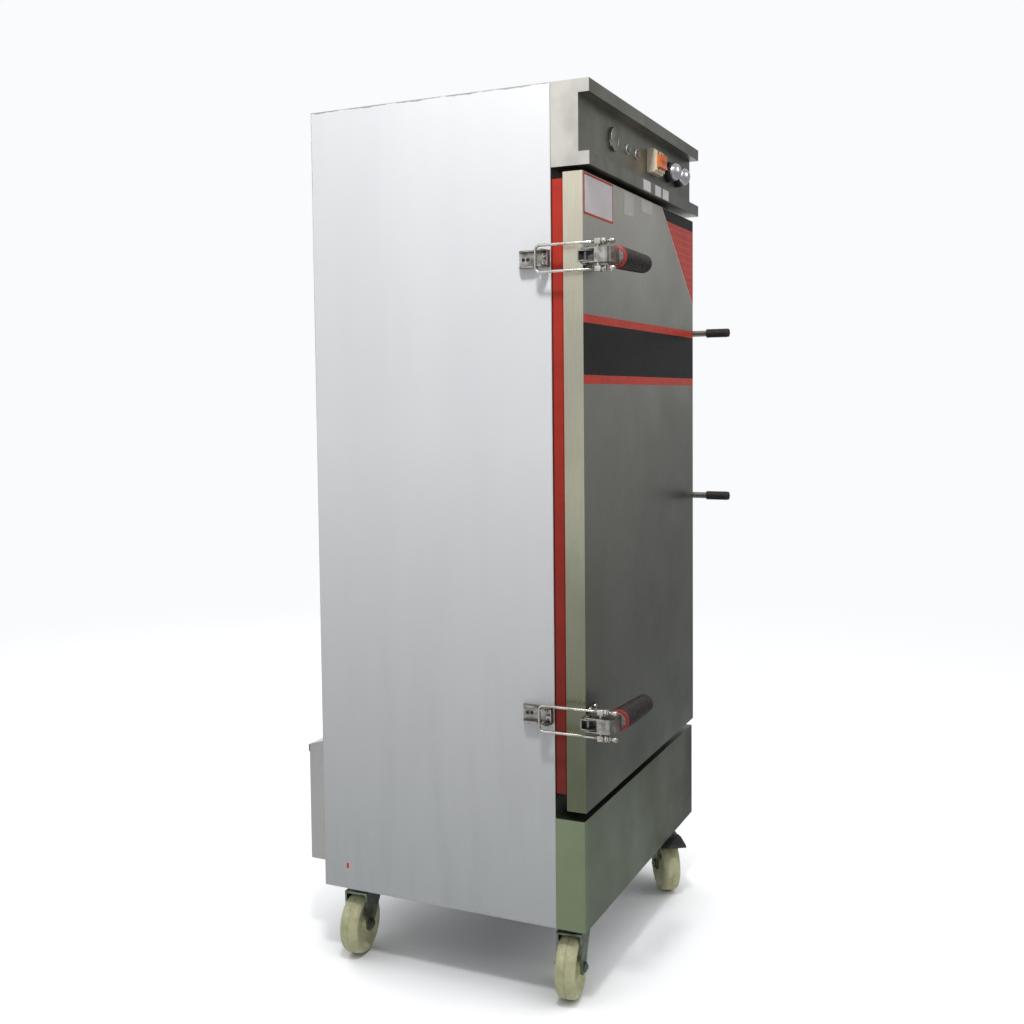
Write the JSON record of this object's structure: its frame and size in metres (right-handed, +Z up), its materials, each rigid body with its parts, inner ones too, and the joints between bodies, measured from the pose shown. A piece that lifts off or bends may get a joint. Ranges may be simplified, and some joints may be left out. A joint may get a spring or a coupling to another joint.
{
  "type": "rice steamer cabinet",
  "caption": "Tall insulated steaming cabinet on swivel castors, with a hinged door held by draw latches, a control fascia, a plinth and racks for trays.",
  "frame": {"origin": "on the floor, under the middle of the bounding box", "axes": "+Z up, the door faces -Y, +X to the right seen from the front"},
  "size_m": [0.772, 0.7195, 1.6814],
  "materials": {
    "sheet_steel": "satin",
    "filmed_steel": "satin",
    "liner_steel": "satin",
    "fittings_steel": "polished",
    "heater_metal": "matte",
    "tray_aluminium": "satin",
    "cap_metal": "polished",
    "knob_metal": "polished",
    "valve_brass": "satin",
    "drain_handle_paint": "gloss",
    "gland_plastic": "matte",
    "lamp_green": "gloss",
    "lamp_red": "gloss",
    "breaker_plastic": "matte",
    "rocker_plastic": "gloss",
    "float_plastic": "gloss",
    "gasket_silicone": "matte",
    "grip_rubber": "matte",
    "fork_steel": "satin",
    "wheel_nylon": "satin",
    "pedal_plastic": "matte",
    "wool": "matte"
  },
  "bodies": {
    "cabinet": {"back_panel": "sheet_steel", "blanking_cap": "cap_metal", "breaker_body": "breaker_plastic", "cable_gland": "gland_plastic", "control_fascia": "sheet_steel", "drain_valve": "valve_brass", "floor_pan": "sheet_steel", "heater_tubes": "heater_metal", "hinge_leaf_cabinet_lower": "fittings_steel", "hinge_leaf_cabinet_upper": "fittings_steel", "inner_liner": "liner_steel", "insulation": "wool", "keeper_lower": "fittings_steel", "keeper_upper": "fittings_steel", "pilot_lamp_left": "lamp_green", "pilot_lamp_right": "lamp_red", "plinth_box": "sheet_steel", "rack_left": "liner_steel", "rack_right": "liner_steel", "rice_tray_1": "tray_aluminium", "rice_tray_2": "tray_aluminium", "rice_tray_3": "tray_aluminium", "rice_tray_4": "tray_aluminium", "side_panel_left": "filmed_steel", "side_panel_right": "sheet_steel", "steam_vent": "sheet_steel", "supply_tank": "sheet_steel", "top_panel": "sheet_steel"},
    "door": {"door_shell": "sheet_steel", "door_insulation": "wool", "door_liner": "liner_steel", "door_gasket": "gasket_silicone", "hinge_leaf_door_lower": "fittings_steel", "hinge_leaf_door_upper": "fittings_steel", "pull_grip_lower": "grip_rubber", "pull_grip_upper": "grip_rubber", "latch_base_lower": "fittings_steel", "latch_base_upper": "fittings_steel"},
    "lever_lower": {"latch_lever_lower": "fittings_steel", "latch_grip_lower": "grip_rubber"},
    "lever_upper": {"latch_lever_upper": "fittings_steel", "latch_grip_upper": "grip_rubber"},
    "bar_lower": {"latch_bar_lower": "fittings_steel"},
    "bar_upper": {"latch_bar_upper": "fittings_steel"},
    "rocker": {"breaker_rocker": "rocker_plastic"},
    "knob_timer": {"timer_knob": "knob_metal"},
    "knob_heat": {"heat_knob": "knob_metal"},
    "tank_lid": {"supply_tank_lid": "sheet_steel"},
    "float": {"float_arm": "float_plastic"},
    "drain_handle": {"drain_lever": "drain_handle_paint"},
    "caster_front_left": {"fork_front_left": "fork_steel"},
    "wheel_front_left_body": {"wheel_front_left": "wheel_nylon"},
    "caster_back_left": {"fork_back_left": "fork_steel"},
    "wheel_back_left_body": {"wheel_back_left": "wheel_nylon"},
    "caster_front_right": {"fork_front_right": "fork_steel"},
    "wheel_front_right_body": {"wheel_front_right": "wheel_nylon"},
    "caster_back_right": {"fork_back_right": "fork_steel"},
    "wheel_back_right_body": {"wheel_back_right": "wheel_nylon"},
    "pedal_front_right": {"brake_pedal_front_right": "pedal_plastic"},
    "pedal_back_right": {"brake_pedal_back_right": "pedal_plastic"}
  },
  "joints": [
    {"name": "door_hinge", "type": "hinge", "parent": "cabinet", "child": "door", "pos_m": [0.357, -0.2311, 0.954], "axis": [0, 0, 1], "range_deg": [0, 120]},
    {"name": "latch_lever_lower", "type": "hinge", "parent": "door", "child": "lever_lower", "pos_m": [-0.375, -0.29465, 0.544], "axis": [0, 0, -1], "range_deg": [0, 150]},
    {"name": "latch_bar_lower", "type": "hinge", "parent": "lever_lower", "child": "bar_lower", "pos_m": [-0.375, -0.31865, 0.544], "axis": [0, 0, -1], "range_deg": [-180, 0]},
    {"name": "latch_lever_upper", "type": "hinge", "parent": "door", "child": "lever_upper", "pos_m": [-0.375, -0.29465, 1.3697], "axis": [0, 0, -1], "range_deg": [0, 150]},
    {"name": "latch_bar_upper", "type": "hinge", "parent": "lever_upper", "child": "bar_upper", "pos_m": [-0.375, -0.31865, 1.3697], "axis": [0, 0, -1], "range_deg": [-180, 0]},
    {"name": "breaker_rocker", "type": "hinge", "parent": "cabinet", "child": "rocker", "pos_m": [0.06853, -0.28815, 1.6068], "axis": [1, 0, 0], "range_deg": [-8, 8]},
    {"name": "knob_timer", "type": "hinge", "parent": "cabinet", "child": "knob_timer", "pos_m": [0.18305, -0.27265, 1.6068], "axis": [0, 1, 0], "range_deg": [0, 300]},
    {"name": "knob_heat", "type": "hinge", "parent": "cabinet", "child": "knob_heat", "pos_m": [0.2499, -0.27265, 1.6068], "axis": [0, 1, 0], "range_deg": [0, 270]},
    {"name": "tank_lid", "type": "hinge", "parent": "cabinet", "child": "tank_lid", "pos_m": [-0.15, 0.28895, 0.43338], "axis": [1, 0, 0], "range_deg": [0, 85]},
    {"name": "float_arm", "type": "hinge", "parent": "cabinet", "child": "float", "pos_m": [-0.038, 0.32165, 0.371], "axis": [0, -1, 0], "range_deg": [0, 35]},
    {"name": "drain_lever", "type": "hinge", "parent": "cabinet", "child": "drain_handle", "pos_m": [0.21, 0.31905, 0.2475], "axis": [0, 0, -1], "range_deg": [0, 90]},
    {"name": "caster_swivel_front_left", "type": "hinge", "parent": "cabinet", "child": "caster_front_left", "pos_m": [-0.27, -0.22655, 0.1245], "axis": [0, 0, 1], "continuous": true},
    {"name": "wheel_spin_front_left", "type": "hinge", "parent": "caster_front_left", "child": "wheel_front_left_body", "pos_m": [-0.30763, -0.23184, 0.0605], "axis": [0.1392, -0.9903, 0], "continuous": true},
    {"name": "caster_swivel_back_left", "type": "hinge", "parent": "cabinet", "child": "caster_back_left", "pos_m": [-0.27, 0.23475, 0.1245], "axis": [0, 0, 1], "continuous": true},
    {"name": "wheel_spin_back_left", "type": "hinge", "parent": "caster_back_left", "child": "wheel_back_left_body", "pos_m": [-0.30779, 0.23078, 0.0605], "axis": [0.1045, -0.9945, 0], "continuous": true},
    {"name": "caster_swivel_front_right", "type": "hinge", "parent": "cabinet", "child": "caster_front_right", "pos_m": [0.27, -0.22655, 0.1245], "axis": [0, 0, 1], "continuous": true},
    {"name": "wheel_spin_front_right", "type": "hinge", "parent": "caster_front_right", "child": "wheel_front_right_body", "pos_m": [0.23813, -0.24725, 0.0605], "axis": [0.5446, -0.8387, 0], "continuous": true},
    {"name": "brake_pedal_front_right", "type": "hinge", "parent": "caster_front_right", "child": "pedal_front_right", "pos_m": [0.22932, -0.25296, 0.1125], "axis": [0.5446, -0.8387, 0], "range_deg": [0, 10]},
    {"name": "caster_swivel_back_right", "type": "hinge", "parent": "cabinet", "child": "caster_back_right", "pos_m": [0.27, 0.23475, 0.1245], "axis": [0, 0, 1], "continuous": true},
    {"name": "wheel_spin_back_right", "type": "hinge", "parent": "caster_back_right", "child": "wheel_back_right_body", "pos_m": [0.23452, 0.22113, 0.0605], "axis": [0.3584, -0.9336, 0], "continuous": true},
    {"name": "brake_pedal_back_right", "type": "hinge", "parent": "caster_back_right", "child": "pedal_back_right", "pos_m": [0.22472, 0.21737, 0.1125], "axis": [0.3584, -0.9336, 0], "range_deg": [0, 10]}
  ],
  "couplings": [
    {"joint": "latch_bar_lower", "follows": "latch_lever_lower", "ratio": -1.2},
    {"joint": "latch_bar_upper", "follows": "latch_lever_upper", "ratio": -1.2}
  ]
}
